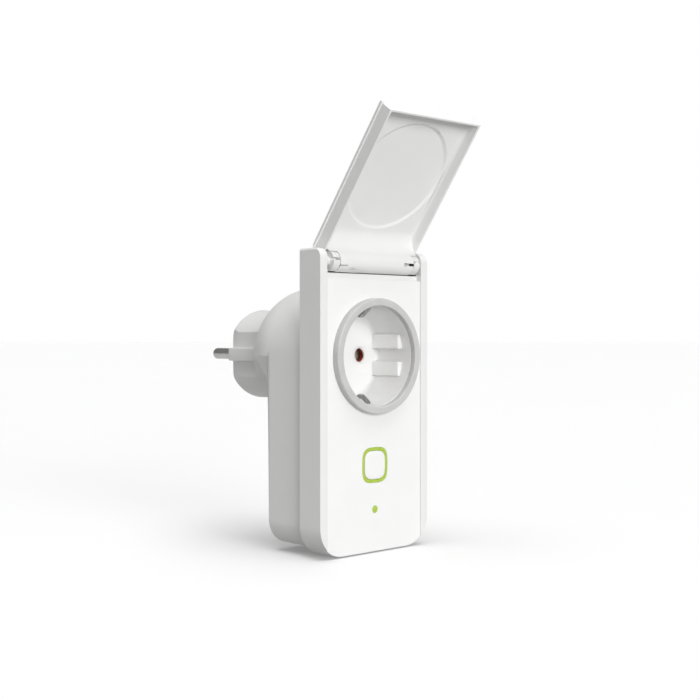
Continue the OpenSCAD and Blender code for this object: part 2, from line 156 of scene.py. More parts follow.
# plug
PLUG_R = 19.0
FLAT_X = 16.5
KEY_D = 53.5
SHANK_R = 2.0

# lid: n of its back, rim and floor, then barrel, knuckles and dish
LID_N = 9.0
RIM_N = 2.45
SKIN_N = 7.2
LID_LEN = 65.0
LID_WALL = 1.5
BARREL_R = 4.2
BARREL_HW = 20.4
KNUCKLE_R = 4.0
FILL_R = 7.0
DISH_R = 23.7
DISH_SLOPE = 1.1
DISH_T = 0.7
DISH_S = 35.4

# how far a cutter runs past a surface, and half the width of one that crosses the case
PAST = 2.0
REACH = 40.0

# how strongly large faces steer the shading of their corners
NORMAL_WEIGHT = 80


def at(x, z, d):
    """Point of the case."""
    return Vector((x * MM, rim_y + d * MM, z * MM))


def in_lid(x, s, n):
    """Point of the open lid."""
    y = math.cos(LEAN) * n - math.sin(LEAN) * s
    z = math.sin(LEAN) * n + math.cos(LEAN) * s
    return hinge_at + Vector((x * MM, y * MM, z * MM))


def along_x(d, z, x):
    """Point of the case, for outlines drawn in depth and height."""
    return at(x, z, d)


def lid_section(n, s, x):
    """Point of the lid, for outlines drawn in n and s."""
    return in_lid(x, s, n)


# ---- Shapes ---------------------------------------------------------------------


def arc(u, v, radius, start, end, steps):
    """Points of an arc, angles in degrees."""
    angles = [math.radians(start + (end - start) * k / steps) for k in range(steps + 1)]
    return [Vector((u + radius * math.cos(a), v + radius * math.sin(a))) for a in angles]


def fillet(corners, steps):
    """Closed outline through (u, v, radius) corners, each rounded by its own radius."""
    points = []
    for i, (u, v, radius) in enumerate(corners):
        here = Vector((u, v))
        if radius <= 0:
            points.append(here)
            continue
        before = (Vector(corners[i - 1][:2]) - here).normalized()
        after = (Vector(corners[(i + 1) % len(corners)][:2]) - here).normalized()
        half = before.angle(after) / 2
        centre = here + (before + after).normalized() * (radius / math.sin(half))
        first = here + before * (radius / math.tan(half)) - centre
        last = here + after * (radius / math.tan(half)) - centre
        start = math.atan2(first.y, first.x)
        turn = (math.atan2(last.y, last.x) - start + math.pi) % TAU - math.pi
        for k in range(steps + 1):
            a = start + turn * k / steps
            points.append(centre + radius * Vector((math.cos(a), math.sin(a))))
    return points


def circle(radius, count=96, u=0, v=0):
    """Points of a full circle."""
    return [Vector((u + radius * math.cos(TAU * k / count), v + radius * math.sin(TAU * k / count)))
            for k in range(count)]


def squircle(width, count=96):
    """Square with bowed sides and round corners, about the button's axis."""
    power = 3.6
    points = []
    for k in range(count):
        c, s = math.cos(TAU * k / count), math.sin(TAU * k / count)
        points.append(Vector((math.copysign(abs(c) ** (2 / power), c) * width / 2,
                              BUTTON_Z + math.copysign(abs(s) ** (2 / power), s) * width / 2)))
    return points


def inset(points, gap):
    """The outline drawn in by gap, point by point."""
    sharpest = 0.4
    count = len(points)
    area = sum(points[i - 1].cross(points[i]) for i in range(count))
    sign = 1 if area > 0 else -1
    out = []
    for i, p in enumerate(points):
        a = (p - points[i - 1]).normalized()
        b = (points[(i + 1) % count] - p).normalized()
        t = (a + b).normalized()
        out.append(p + sign * Vector((-t.y, t.x)) * gap / max(t.dot(a), sharpest))
    return out


def loft(name, rings, closed=False):
    """Mesh object with faces between rings of equal length, capped unless closed."""
    count = len(rings[0])
    faces = []
    for k in range(len(rings) if closed else len(rings) - 1):
        a = k * count
        b = (k + 1) % len(rings) * count
        faces += [(a + i, a + (i + 1) % count, b + (i + 1) % count, b + i) for i in range(count)]
    if not closed:
        faces.append(tuple(range(count)))
        faces.append(tuple(range((len(rings) - 1) * count, len(rings) * count)))
    mesh = bpy.data.meshes.new(name)
    mesh.from_pydata([p for ring in rings for p in ring], [], faces)
    work = bmesh.new()
    work.from_mesh(mesh)
    bmesh.ops.remove_doubles(work, verts=work.verts, dist=1e-6)
    bmesh.ops.dissolve_degenerate(work, edges=work.edges, dist=1e-7)
    bmesh.ops.delete(work, geom=[e for e in work.edges if not e.link_faces], context="EDGES")
    bmesh.ops.recalc_face_normals(work, faces=work.faces)
    work.to_mesh(mesh)
    work.free()
    obj = bpy.data.objects.new(name, mesh)
    bpy.context.scene.collection.objects.link(obj)
    return obj


def prism(name, outline, start, end, place=at):
    """Solid drawn out from an outline, from start to end."""
    return loft(name, [[place(p.x, p.y, t) for p in outline] for t in (start, end)])


def revolve(name, profile, count, x=0, z=0, place=at):
    """Solid of revolution about an axis along the depth, from (radius, depth) points.

    It is turned by half a step, so that no edge of it meets a corner of a cutter.
    """
    rings = []
    for k in range(count):
        turn = TAU * (k + 0.5) / count
        c, s = math.cos(turn), math.sin(turn)
        rings.append([place(x + p[0] * c, z + p[0] * s, p[1]) for p in profile])
    return loft(name, rings, closed=True)


def cylinder(x, z, radius, d0, d1, count=48):
    """Cutter or post along the depth."""
    return prism("cutter", circle(radius, count, x, z), d0, d1)


def cuboid(x0, x1, d0, d1, z0, z1):
    """Cutter with square corners."""
    return prism("cutter", [Vector(p) for p in ((x0, z0), (x1, z0), (x1, z1), (x0, z1))], d0, d1)


def settle(obj):
    """Applies an object's modifiers to its mesh."""
    graph = bpy.context.evaluated_depsgraph_get()
    mesh = bpy.data.meshes.new_from_object(obj.evaluated_get(graph))
    obj.modifiers.clear()
    obj.data = mesh


def combine(obj, others, operation="DIFFERENCE"):
    """Cuts, joins or crosses an object with others, which are used up."""
    for other in others:
        step = obj.modifiers.new("combine", "BOOLEAN")
        step.operation = operation
        step.object = other
        step.solver = "EXACT"
        settle(obj)
        bpy.data.objects.remove(other)


def soften(obj, width, segments, angle=38):
    """Rounds the edges that are sharper than an angle."""
    step = obj.modifiers.new("soften", "BEVEL")
    step.width = width * MM
    step.segments = segments
    step.limit_method = "ANGLE"
    step.angle_limit = math.radians(angle)
    step.use_clamp_overlap = False
    step.miter_outer = "MITER_ARC"
    step.profile = 0.5
    settle(obj)


def tube(name, path, radius, up):
    """Round wire along a path, with flat ends."""
    sides = 12
    turns = [TAU * k / sides for k in range(sides)]
    rings = []
    for i, p in enumerate(path):
        ahead = path[min(i + 1, len(path) - 1)] - path[max(i - 1, 0)]
        side = ahead.cross(up).normalized()
        over = side.cross(ahead).normalized()
        rings.append([p + radius * MM * (side * math.cos(t) + over * math.sin(t)) for t in turns])
    return loft(name, rings)


def shade(obj, angle):
    """Smooth faces, with crisp edges only where they are sharper than an angle."""
    obj.data.polygons.foreach_set("use_smooth", [True] * len(obj.data.polygons))
    obj.data.set_sharp_from_angle(angle=math.radians(angle))
    step = obj.modifiers.new("normals", "WEIGHTED_NORMAL")
    step.keep_sharp = True
    step.weight = NORMAL_WEIGHT


def piece(obj, body, look, slot, *nodes, angle=30):
    """Shades, dresses and mounts a finished piece, which takes its CAD nodes' place."""
    shade(obj, angle)
    obj.data.materials.clear()
    obj.data.materials.append(look)
    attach(obj, body)
    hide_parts(*nodes)
    return obj


# ---- Materials ---------------------------------------------------------------------


def shader(name, colour, roughness, metallic=0.0):
    """New material, with its node tree and its principled shader."""
    mat = bpy.data.materials.new(name)
    mat.use_nodes = True
    tree = mat.node_tree
    bsdf = tree.nodes["Principled BSDF"]
    bsdf.inputs["Base Color"].default_value = (*colour, 1)
    bsdf.inputs["Roughness"].default_value = roughness
    bsdf.inputs["Metallic"].default_value = metallic
    mat.diffuse_color = (*colour, 1)
    return mat, tree, bsdf


def link(tree, a, b):
    """Joins an output to an input."""
    tree.links.new(a, b)


def noise(tree, scale, detail, stretch=(1, 1, 1)):
    """Noise in object space, its features about 1 / scale metres wide."""
    where = tree.nodes.new("ShaderNodeTexCoord")
    mapping = tree.nodes.new("ShaderNodeMapping")
    mapping.inputs["Scale"].default_value = stretch
    tex = tree.nodes.new("ShaderNodeTexNoise")
    tex.inputs["Scale"].default_value = scale
    tex.inputs["Detail"].default_value = detail
    link(tree, where.outputs["Object"], mapping.inputs["Vector"])
    link(tree, mapping.outputs["Vector"], tex.inputs["Vector"])
    return tex.outputs["Fac"]


def spread(tree, value, low, high, to_low, to_high):
    """Maps a value from one range to another."""
    node = tree.nodes.new("ShaderNodeMapRange")
    node.inputs["From Min"].default_value = low
    node.inputs["From Max"].default_value = high
    node.inputs["To Min"].default_value = to_low
    node.inputs["To Max"].default_value = to_high
    link(tree, value, node.inputs["Value"])
    return node.outputs["Result"]


def blend_colour(tree, factor, first, second):
    """Mixes two colours, each a tuple or a socket."""
    node = tree.nodes.new("ShaderNodeMix")
    node.data_type = "RGBA"
    link(tree, factor, node.inputs["Factor"])
    for socket, value in ((node.inputs[6], first), (node.inputs[7], second)):
        if isinstance(value, tuple):
            socket.default_value = (*value, 1)
        else:
            link(tree, value, socket)
    return node.outputs[2]


def add(tree, a, b):
    """Sum of two values."""
    node = tree.nodes.new("ShaderNodeMath")
    node.operation = "ADD"
    link(tree, a, node.inputs[0])
    link(tree, b, node.inputs[1])
    return node.outputs[0]


def bump(tree, bsdf, height, strength, distance):
    """Relief on a shader, up to a distance in metres."""
    node = tree.nodes.new("ShaderNodeBump")
    node.inputs["Strength"].default_value = strength
    node.inputs["Distance"].default_value = distance
    link(tree, height, node.inputs["Height"])
    link(tree, node.outputs["Normal"], bsdf.inputs["Normal"])


def edges(tree, radius):
    """Mask that is 1 on convex and concave edges and 0 on flat faces."""
    round_normal = tree.nodes.new("ShaderNodeBevel")
    round_normal.samples = 8
    round_normal.inputs["Radius"].default_value = radius
    plain = tree.nodes.new("ShaderNodeNewGeometry")
    dot = tree.nodes.new("ShaderNodeVectorMath")
    dot.operation = "DOT_PRODUCT"
    link(tree, round_normal.outputs["Normal"], dot.inputs[0])
    link(tree, plain.outputs["Normal"], dot.inputs[1])
    return spread(tree, dot.outputs["Value"], 0.98, 0.85, 0.0, 1.0)


def scaled(colour, k):
    """Colour made lighter or darker."""
    return tuple(min(c * k, 1.0) for c in colour)


def soft_inside(bsdf, weight, depth):
    """Lets light spread under the skin, evenly in all colours."""
    bsdf.inputs["Subsurface Weight"].default_value = weight
    bsdf.inputs["Subsurface Radius"].default_value = (1, 1, 1)
    bsdf.inputs["Subsurface Scale"].default_value = depth


def moulded(name, colour, roughness, grain=1500, depth=0.03, wear=0.03, soft=0.0):
    """Moulded plastic: fine spark-eroded grain, faint mottling, edges rubbed smoother."""
    mat, tree, bsdf = shader(name, colour, roughness)
    broad = noise(tree, 55, 4)
    fine = noise(tree, grain, 2)
    rub = edges(tree, 0.0004)
    tone = blend_colour(tree, spread(tree, broad, 0.35, 0.65, 0, 1), scaled(colour, 0.982), colour)
    link(tree, blend_colour(tree, spread(tree, rub, 0, 1, 0, wear * 10), tone, scaled(colour, 1.03)),
         bsdf.inputs["Base Color"])
    rough = spread(tree, noise(tree, 120, 2), 0.3, 0.7, roughness - 0.02, roughness + 0.02)
    link(tree, add(tree, rough, spread(tree, rub, 0, 1, 0, -0.08)), bsdf.inputs["Roughness"])
    bump(tree, bsdf, fine, depth, 0.00003)
    if soft:
        soft_inside(bsdf, soft, 0.003)
    return mat


def rubber(name, colour, roughness):
    """Soft elastomer: dusty, matt, with a fine pebbled skin."""
    mat, tree, bsdf = shader(name, colour, roughness)
    dust = noise(tree, 160, 6)
    link(tree, blend_colour(tree, spread(tree, dust, 0.35, 0.7, 0, 1), colour, scaled(colour, 1.07)),
         bsdf.inputs["Base Color"])
    link(tree, spread(tree, noise(tree, 700, 4), 0.3, 0.7, roughness - 0.06, roughness + 0.06),
         bsdf.inputs["Roughness"])
    bump(tree, bsdf, noise(tree, 1900, 3), 0.08, 0.00004)
    bsdf.inputs["Sheen Weight"].default_value = 0.08
    soft_inside(bsdf, 0.6, 0.0025)
    return mat


def metal(name, colour, roughness, stretch=(1, 1, 1), scale=900):
    """Metal with drawn or brushed lines along its long side and a little tarnish."""
    mat, tree, bsdf = shader(name, colour, roughness, 1.0)
    lines = noise(tree, scale, 4, stretch)
    cloud = noise(tree, 130, 5)
    tint = scaled((colour[0] * 0.95, colour[1] * 0.9, colour[2] * 0.82), 0.9)
    link(tree, blend_colour(tree, spread(tree, cloud, 0.45, 0.75, 0, 1), colour, tint),
         bsdf.inputs["Base Color"])
    link(tree, spread(tree, lines, 0.3, 0.7, roughness - 0.06, roughness + 0.08),
         bsdf.inputs["Roughness"])
    bump(tree, bsdf, lines, 0.06, 0.00002)
    return mat


def glowing(name, colour, light, strength):
    """Light guide, lit evenly from behind, with a little haze."""
    mat, tree, bsdf = shader(name, colour, 0.28)
    haze = noise(tree, 300, 3)
    link(tree, blend_colour(tree, spread(tree, haze, 0.3, 0.7, 0, 1), scaled(colour, 0.94), colour),
         bsdf.inputs["Base Color"])
    link(tree, blend_colour(tree, spread(tree, haze, 0.3, 0.7, 0, 1), light, scaled(light, 0.9)),
         bsdf.inputs["Emission Color"])
    bsdf.inputs["Emission Strength"].default_value = strength
    link(tree, spread(tree, noise(tree, 900, 2), 0.3, 0.7, 0.24, 0.34), bsdf.inputs["Roughness"])
    bump(tree, bsdf, haze, 0.03, 0.00003)
    return mat


def board_mask(name, colour):
    """Solder mask over copper tracks, with small glints of bare pads."""
    mat, tree, bsdf = shader(name, colour, 0.32)
    where = tree.nodes.new("ShaderNodeTexCoord")
    turn = tree.nodes.new("ShaderNodeMapping")
    turn.inputs["Rotation"].default_value = (math.radians(90), 0, 0)
    link(tree, where.outputs["Object"], turn.inputs["Vector"])
    brick = tree.nodes.new("ShaderNodeTexBrick")
    brick.inputs["Scale"].default_value = 420
    brick.inputs["Mortar Size"].default_value = 0.05
    brick.inputs["Brick Width"].default_value = 1.9
    brick.inputs["Color1"].default_value = (1, 1, 1, 1)
    brick.inputs["Color2"].default_value = (0.75, 0.75, 0.75, 1)
    brick.inputs["Mortar"].default_value = (0, 0, 0, 1)
    link(tree, turn.outputs["Vector"], brick.inputs["Vector"])
    track = blend_colour(tree, brick.outputs["Color"], colour, scaled(colour, 1.7))
    spots = tree.nodes.new("ShaderNodeTexVoronoi")
    spots.inputs["Scale"].default_value = 420
    link(tree, where.outputs["Object"], spots.inputs["Vector"])
    pad = spread(tree, spots.outputs["Distance"], 0.16, 0.12, 0, 1)
    link(tree, blend_colour(tree, pad, track, (0.7, 0.62, 0.42)), bsdf.inputs["Base Color"])
    link(tree, spread(tree, noise(tree, 500, 3), 0.3, 0.7, 0.25, 0.4), bsdf.inputs["Roughness"])
    bump(tree, bsdf, brick.outputs["Fac"], 0.15, 0.00003)
    bsdf.inputs["Coat Weight"].default_value = 0.3
    return mat


white = moulded("case_white", (0.83, 0.83, 0.82), 0.42, wear=0.02)
panel_white = moulded("panel_white", (0.91, 0.91, 0.905), 0.42, grain=1100, depth=0.015, wear=0.015)
# The socket cup's white is lighter than the case's white: painted light that brightens the shaded recess.
cup_white_painted_light = moulded("cup_white_painted_light", (0.94, 0.94, 0.925), 0.24, grain=1100, depth=0.012, wear=0.015, soft=0.7)
lid_white = moulded("lid_white", (0.88, 0.88, 0.87), 0.4, grain=1300, depth=0.02, wear=0.02)
seal_grey = rubber("seal_grey", (0.56, 0.56, 0.55), 0.6)
gasket_grey = rubber("gasket_grey", (0.30, 0.30, 0.30), 0.65)
green_ring = glowing("light_green", (0.26, 0.35, 0.045), (0.34, 0.48, 0.04), 0.5)
red = moulded("shutter_red", (0.62, 0.07, 0.03), 0.45)
nickel = metal("pin_nickel", (0.4, 0.4, 0.39), 0.27, stretch=(1, 0.06, 1))
steel = metal("spring_steel", (0.55, 0.55, 0.55), 0.3, scale=2400)
brass = metal("brass_strip", (0.78, 0.58, 0.27), 0.3, stretch=(1, 1, 0.1))
board_green = board_mask("board_green", (0.015, 0.11, 0.045))
black = moulded("part_black", (0.02, 0.02, 0.021), 0.42)
blue = moulded("part_blue", (0.03, 0.13, 0.42), 0.4)
yellow = moulded("part_yellow", (0.72, 0.52, 0.08), 0.5)
cream = moulded("part_cream", (0.76, 0.70, 0.54), 0.5)

# ---- Case -------------------------------------------------------------------------


def front_outline(gap=0.0):
    """Outline of the front housing: small radii above, large ones below."""
    low = CORNER_R - gap
    high = max(TOP_CORNER_R - gap, 0.4)
    x, lo, hi = HALF_W - gap, -BOTTOM + gap, TOP - gap
    return fillet([(-x, lo, low), (x, lo, low), (x, hi, high), (-x, hi, high)], 14)


def rear_outline(gap=0.0):
    """Outline of the rear housing: a half circle over a box with round corners."""
    x, lo = REAR_HW - gap, -REAR_BOTTOM + gap
    low = REAR_CORNER - gap
    points = arc(0, 0, x, 0, 180, 40)
    points += arc(-x + low, lo + low, low, 180, 270, 12)
    points += arc(x - low, lo + low, low, 270, 360, 12)
    return points


def below(shape, start, end, roof):
    """Cutter from an outline, kept under a roof."""
    cutter = prism("cutter", shape, start, end)
    combine(cutter, [cuboid(-REACH, REACH, 0, 20, roof, 60)])
    return cutter


def boss(x, z):
    """Post that a case screw bites into, from the panel to the seam."""
    profile = [(BOSS_HOLE_R, 5), (BOSS_R, PANEL_D + PANEL_T + 0.01), (BOSS_R, FRONT_D - 0.2),
               (BOSS_R - 0.2, FRONT_D), (BOSS_HOLE_R + 0.3, FRONT_D), (BOSS_HOLE_R, FRONT_D - 0.3)]
    return revolve("boss", profile, 40, x, z)


def front_shell():
    """Front housing: cheeks, hinge pocket, sill and screw bosses."""
    shell = prism("front_shell", front_outline(), 0, FRONT_D)
    corner = arc(CHEEK_R, TOP - CHEEK_R, CHEEK_R, 180, 90, 14)
    corner += [Vector((CHEEK_R, TOP + PAST)), Vector((-PAST, TOP + PAST)), Vector((-PAST, TOP - CHEEK_R))]
    roof = PANEL_TOP - ROOF_T
    seat = PANEL_D + PANEL_T
    pocket = fillet([(-SLOT_W, SILL_Z, 0.6), (SLOT_W, SILL_Z, 0.6), (SLOT_W, TOP + 4, 0),
                     (-SLOT_W, TOP + 4, 0)], 4)
    axle = circle(AXLE_R, 40, HINGE_D, hinge_at.z / MM)
    combine(shell, [
        prism("cutter", corner, -REACH, REACH, along_x),
        cuboid(-SLOT_W, SLOT_W, -PAST, seat, -BOTTOM - PAST, PANEL_TOP),
        below(front_outline(WALL), seat - 0.5, FRONT_D - 1.8, roof),
        below(rear_outline(WALL), FRONT_D - 2.5, FRONT_D + PAST, roof),
        prism("cutter", pocket, -PAST, POCKET_D),
        cuboid(-SLOT_W, SLOT_W, -PAST, SILL_D, PANEL_TOP - 0.5, SILL_Z + 0.5),
        prism("cutter", axle, -HALF_W + 1.5, HALF_W - 1.5, along_x),
    ])
    soften(shell, 0.2, 2)
    combine(shell, [boss(x, z) for x, z in SCREWS], "UNION")
    piece(shell, "case", white, "case_white", "front_housing")


def face_panel():
    """Panel between the cheeks, with soft edges and crisp openings."""
    through = 9
    edge = SLOT_W - 0.01
    panel = prism("face_panel", front_outline(), PANEL_D, PANEL_D + PANEL_T)
    combine(panel, [cuboid(-edge, edge, -1, through, -BOTTOM - 5, PANEL_TOP - 0.05)], "INTERSECT")
    soften(panel, 0.06, 2)
    combine(panel, [
        cylinder(0, 0, CUP_R + 0.1, -PAST, through, 128),
        prism("cutter", squircle(RING_W + 0.1), -PAST, through),
        cylinder(0, LED_Z, LED_R + 0.05, -PAST, through),
    ])
    soften(panel, 0.1, 2)
    piece(panel, "case", panel_white, "panel_white", "front_panel")


def back_edge(outline, t):
    """Outline on the rounded back edge at angle t, which fades out above the socket axis."""
    fade = 6
    points = []
    for p, q in zip(outline, inset(outline, BACK_ROUND * (1 - math.cos(t)))):
        share = min(max(-p.y / fade, 0), 1)
        points.append(p.lerp(q, share * share * (3 - 2 * share)))
    return points


def on_circle(points, radius, above=None):
    """The points' directions on a circle, with its own radius above the socket axis."""
    return [(radius if above is None or p.y < 0 else above) * p.normalized() for p in points]


def rear_shell():
    """Rear housing and the round shoulder that carries the plug, as one skin."""
    outer = rear_outline()
    inner = rear_outline(WALL)
    front = FRONT_D + SEAM
    rings = [(outer, front), (outer, BACK_D - BACK_ROUND)]
    steps = 6
    for k in range(1, steps + 1):
        t = math.pi / 2 * k / steps
        rings.append((back_edge(outer, t), BACK_D - BACK_ROUND + BACK_ROUND * math.sin(t)))
    rings.append((on_circle(outer, REAR_HW + 0.35, REAR_HW), BACK_D))
    rings.append((on_circle(outer, REAR_HW + 0.05, REAR_HW), BACK_D + 0.12))
    centre = REAR_HW - SHOULDER_R
    hole = PLUG_R + 0.05 - centre
    turns = 18
    end = math.acos(hole / SHOULDER_R)
    for k in range(turns + 1):
        t = end * k / turns
        rise = SHOULDER_R * math.sin(t) if k else 0.3
        rings.append((on_circle(outer, centre + SHOULDER_R * math.cos(t)), BACK_D + rise))
    small = SHOULDER_R - WALL
    end = math.acos(hole / small)
    for k in range(turns + 1):
        t = end * (1 - k / turns)
        rings.append((on_circle(outer, centre + small * math.cos(t)), BACK_D + small * math.sin(t)))
    rings.append((on_circle(outer, REAR_HW - WALL), BACK_D - WALL))
    rings.append((inner, BACK_D - WALL))
    rings.append((inner, front))
    shell = loft("rear_shell", [[at(p.x, p.y, d) for p in outline] for outline, d in rings], closed=True)
    combine(shell, [cylinder(x, z, TUBE_R, front, BACK_D - 1, 40) for x, z in SCREWS], "UNION")
    holes = [cylinder(x, z, SCREW_GAP_R, FRONT_D - 1, BACK_D + PAST, 32) for x, z in SCREWS]
    sinks = [cylinder(x, z, SINK_R, BACK_D - SINK_T, BACK_D + PAST, 40) for x, z in SCREWS]
    combine(shell, holes + sinks)
    soften(shell, 0.15, 2, 50)
    piece(shell, "case", white, "case_white", "rear_housing")


# ---- Socket -------------------------------------------------------------------------


def key_block(side, half):
    """One block beside a keyway, from the floor of the recess almost to its rim."""
    outside = RECESS_R + 0.6
    a0 = math.degrees(math.asin(RIB_HALF / outside))
    a1 = math.degrees(math.asin(KEY_HALF / outside))
    back = arc(0, 0, outside, a0, a1, 8)
    shape = [Vector((KEY_IN, RIB_HALF))] + back + [Vector((KEY_IN, KEY_HALF))]
    shape = [Vector((p.x * side, p.y * half)) for p in shape]
    return prism("key", shape, KEY_FRONT, FLOOR_D + 0.6)


def recess_cup():
    """Socket recess with keyways, pin holes and slots for the earth clips.

    Extra rings on its floor and wall keep the faces short, so that soften() stays even.
    """
    front = RING_D + LIP_T + 0.1
    back = FLOOR_D + 2
    past = FLOOR_D + 5
    deep = FLOOR_D + 0.9
    corners = [(CUP_R, front, 0.3), (CUP_R, back, 0.3), (0, back, 0), (0, FLOOR_D, 0)]
    corners += [(r, FLOOR_D, 0) for r in (5, 13, 16, KEY_IN, 17.6)]
    corners.append((RECESS_R, FLOOR_D, 1.8))
    corners += [(RECESS_R, d, 0) for d in (15, 11, 7)]
    corners.append((RECESS_R, front, 0.25))
    cup = revolve("recess_cup", fillet(corners, 8), 160)
    combine(cup, [key_block(side, half) for side in (-1, 1) for half in (-1, 1)], "UNION")
    cutters = [cylinder(s * PIN_X, 0, HOLE_R, FLOOR_D - 3, past, 64) for s in (-1, 1)]
    cutters += [cylinder(s * PIN_X, 0, WELL_R, deep, past, 64) for s in (-1, 1)]
    cutters += [cuboid(-CLIP_HW, CLIP_HW, 3.2, past, lo, hi) for lo, hi in ((17.2, 21.9), (-21.9, -17.2))]
    cutters.append(cylinder(0, 0, PIVOT_GAP_R, deep, past, 40))
    combine(cup, cutters)
    soften(cup, 0.22, 3)
    # the cup's lighter white is painted light in the shaded recess
    piece(cup, "case", cup_white_painted_light, "panel_white", "socket_cup")


def seal_ring():
    """Soft ring with a lip over the rim of the cup."""
    inside = RECESS_R + 0.2
    seat = CUP_R + 0.1
    foot = PANEL_D - 0.02
    profile = fillet([(RING_R, foot, 0.1), (RING_R, RING_D, 0.6), (inside, RING_D, 0.4),
                      (inside, RING_D + LIP_T, 0.1), (seat, RING_D + LIP_T, 0), (seat, foot, 0)], 7)
    piece(revolve("seal_ring", profile, 192), "case", seal_grey, "seal_grey", "socket_ring")


# ---- Controls -----------------------------------------------------------------------


def light_ring():
    """Light guide round the button, with a skirt behind the panel."""
    inside, skirt, collar = 11.6, 15.6, 13.7
    front = PANEL_D - 0.02
    shoulder = front + 2.02
    step = 3.0
    stages = [(RING_W - 0.5, front), (RING_W - 0.14, front + 0.06), (RING_W, front + 0.25),
              (RING_W, shoulder), (skirt, shoulder), (skirt, BOARD_D), (collar, BOARD_D), (collar, step),
              (inside, step), (inside, front + 0.25), (inside + 0.14, front + 0.06), (inside + 0.5, front)]
    rings = [[at(p.x, p.y, d) for p in squircle(w, 128)] for w, d in stages]
    ring = loft("light_ring", rings, closed=True)
    piece(ring, "case", green_ring, "light_green", "button_light_ring")


def push_cap():
    """Button cap with a slightly domed top, a flange and a foot."""
    width, flange, foot = 11.3, 13.1, 3.2
    front, flange_d, foot_d, end = PANEL_D - 0.2, 3.1, 3.8, 4.3
    stages = [(width * (1 - 0.16 * k) - 0.6, front + 0.01 * (4 - k) ** 1.2) for k in range(4, -1, -1)]
    stages += [(width - 0.2, front + 0.16), (width, front + 0.42), (width, flange_d), (flange, flange_d),
               (flange, foot_d), (foot, foot_d), (foot, end)]
    rings = [[at(p.x, p.y, d) for p in squircle(w)] for w, d in stages]
    piece(loft("push_cap", rings), "button", panel_white, "panel_white", "button_cap")


def led_dot():
    """Indicator lens with a domed front and a flange behind the panel."""
    flange, flange_d = 2.1, 3.2
    dome = 0.2
    front = PANEL_D - 0.1
    profile = [(0, BOARD_D), (flange, BOARD_D), (flange, flange_d), (LED_R, flange_d),
               (LED_R, front + dome)]
    profile += [(LED_R * math.cos(a), front + dome - dome * math.sin(a)) for a in (0.4, 0.8, 1.2)]
    profile.append((0, front))
    piece(revolve("led_dot", profile, 48, 0, LED_Z), "case", green_ring, "light_green", "led_lens")


def helix(name, node, radius, wire, turns):
    """Wire spring between the ends of its CAD solid."""
    low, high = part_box(node)
    mid = (low + high) / 2
    start, end = low.y + wire * MM, high.y - wire * MM
    steps = 36
    total = turns * steps
    path = []
    for k in range(total + 1):
        a = TAU * k / steps
        share = k / total
        path.append(Vector((mid.x + radius * MM * math.cos(a), start + (end - start) * share,
                            mid.z + radius * MM * math.sin(a))))
    spring = tube(name, path, wire, Vector((0, 1, 0)))
    return piece(spring, "case", steel, "spring_steel", node)


def button_coil():
    """Return spring, which the button presses together against the board's side."""
    coil = helix("button_coil", "button_spring", 4.9, 0.22, 4)
    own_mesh(coil)


# ---- Plug -----------------------------------------------------------------------------


def plug_profile():
    """Half section of the plug body, with extra rings on its side and face."""
    root, collar, step = 39, PLUG_R + 1.4, 45.77
    hollow_r, hollow_d = 16.4, 46
    corners = [(hollow_r, root, 0), (PLUG_R, root, 0.2), (PLUG_R, step, 0), (collar, step, 0.2),
               (collar, step + 2, 0.2), (PLUG_R, step + 2, 0)]
    corners += [(PLUG_R, d, 0) for d in (51, 53, 54, 57, 61, 65)]
    corners.append((PLUG_R, FACE_D, 3))
    corners += [(r, FACE_D, 0) for r in (15.6, 14.8, 12.6, 9.5, 6.4, 3)]
    corners += [(0, FACE_D, 0), (0, hollow_d, 0), (hollow_r, hollow_d, 0.3)]
    return fillet(corners, 10)


def plug_flat(sx, sz):
    """Cutter for one of the four flats beside the plug's ribs."""
    wide = 12.5
    out = PLUG_R + 2
    past = FACE_D + 1.5
    shape = [(FLAT_X, KEY_D), (FLAT_X, FACE_D - 5.3), (FLAT_X - 1.5, FACE_D), (FLAT_X - 1.9, past),
             (out, past), (out, KEY_D)]
    outline = [Vector((x * sx, d)) for x, d in shape]
    return prism("cutter", outline, RIB_HALF * sz, wide * sz, lambda x, d, z: at(x, z, d))


def plug_core():
    """Plug body with its flats, pin bores and earth contact windows."""
    core = revolve("plug_core", plug_profile(), 160)
    past = FACE_D + PAST
    cutters = [plug_flat(sx, sz) for sx in (-1, 1) for sz in (-1, 1)]
    for s in (-1, 1):
        cutters.append(cylinder(s * PIN_X, 0, SHANK_R + 0.01, 30, past, 64))
        cutters.append(cylinder(s * PIN_X, 0, PIN_R + 0.05, FACE_D - 0.6, past, 64))
    for lo, hi, slot_lo, slot_hi in ((17.4, 20, 17.4, 18.6), (-20, -17.4, -18.6, -17.4)):
        cutters.append(cuboid(-3.1, 3.1, 55, FACE_D - 3.2, lo, hi))
        cutters.append(cuboid(-2.1, 2.1, 38, 55.5, slot_lo, slot_hi))
    cutters.append(cylinder(0, 0, 6.2, 38, 56, 64))
    combine(core, cutters)
    soften(core, 0.3, 3)
    piece(core, "case", white, "case_white", "plug_body")


def plug_pin(name, node, x):
    """Solid pin with a rounded tip and a thinner shank inside the plug body."""
    inner = depth(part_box(node)[0].y)
    collar = FACE_D + 0.2
    tip = 1.6
    chamfer = 0.12
    profile = [(0, inner), (SHANK_R - 0.2, inner), (SHANK_R, inner + 0.2), (SHANK_R, collar),
               (PIN_R - chamfer, collar), (PIN_R, collar + chamfer), (PIN_R, TIP_D - tip)]
    profile += [(PIN_R - tip + tip * math.cos(a), TIP_D - tip + tip * math.sin(a))
                for a in (math.pi / 2 * k / 10 for k in range(1, 11))]
    profile.append((0, TIP_D))
    piece(revolve(name, profile, 64, x), "case", nickel, "pin_metal", node)


# ---- Lid ----------------------------------------------------------------------------------


def lid_outline(gap):
    """Outline of the lid, drawn in by gap."""
    x = LID_HW - gap
    near = 0.9 if gap < 1 else 1.0
    far = 0.5 if gap < 1.4 else 0.9
    return fillet([(-x, gap, near), (x, gap, near), (x, LID_LEN - gap, far), (-x, LID_LEN - gap, far)], 6)


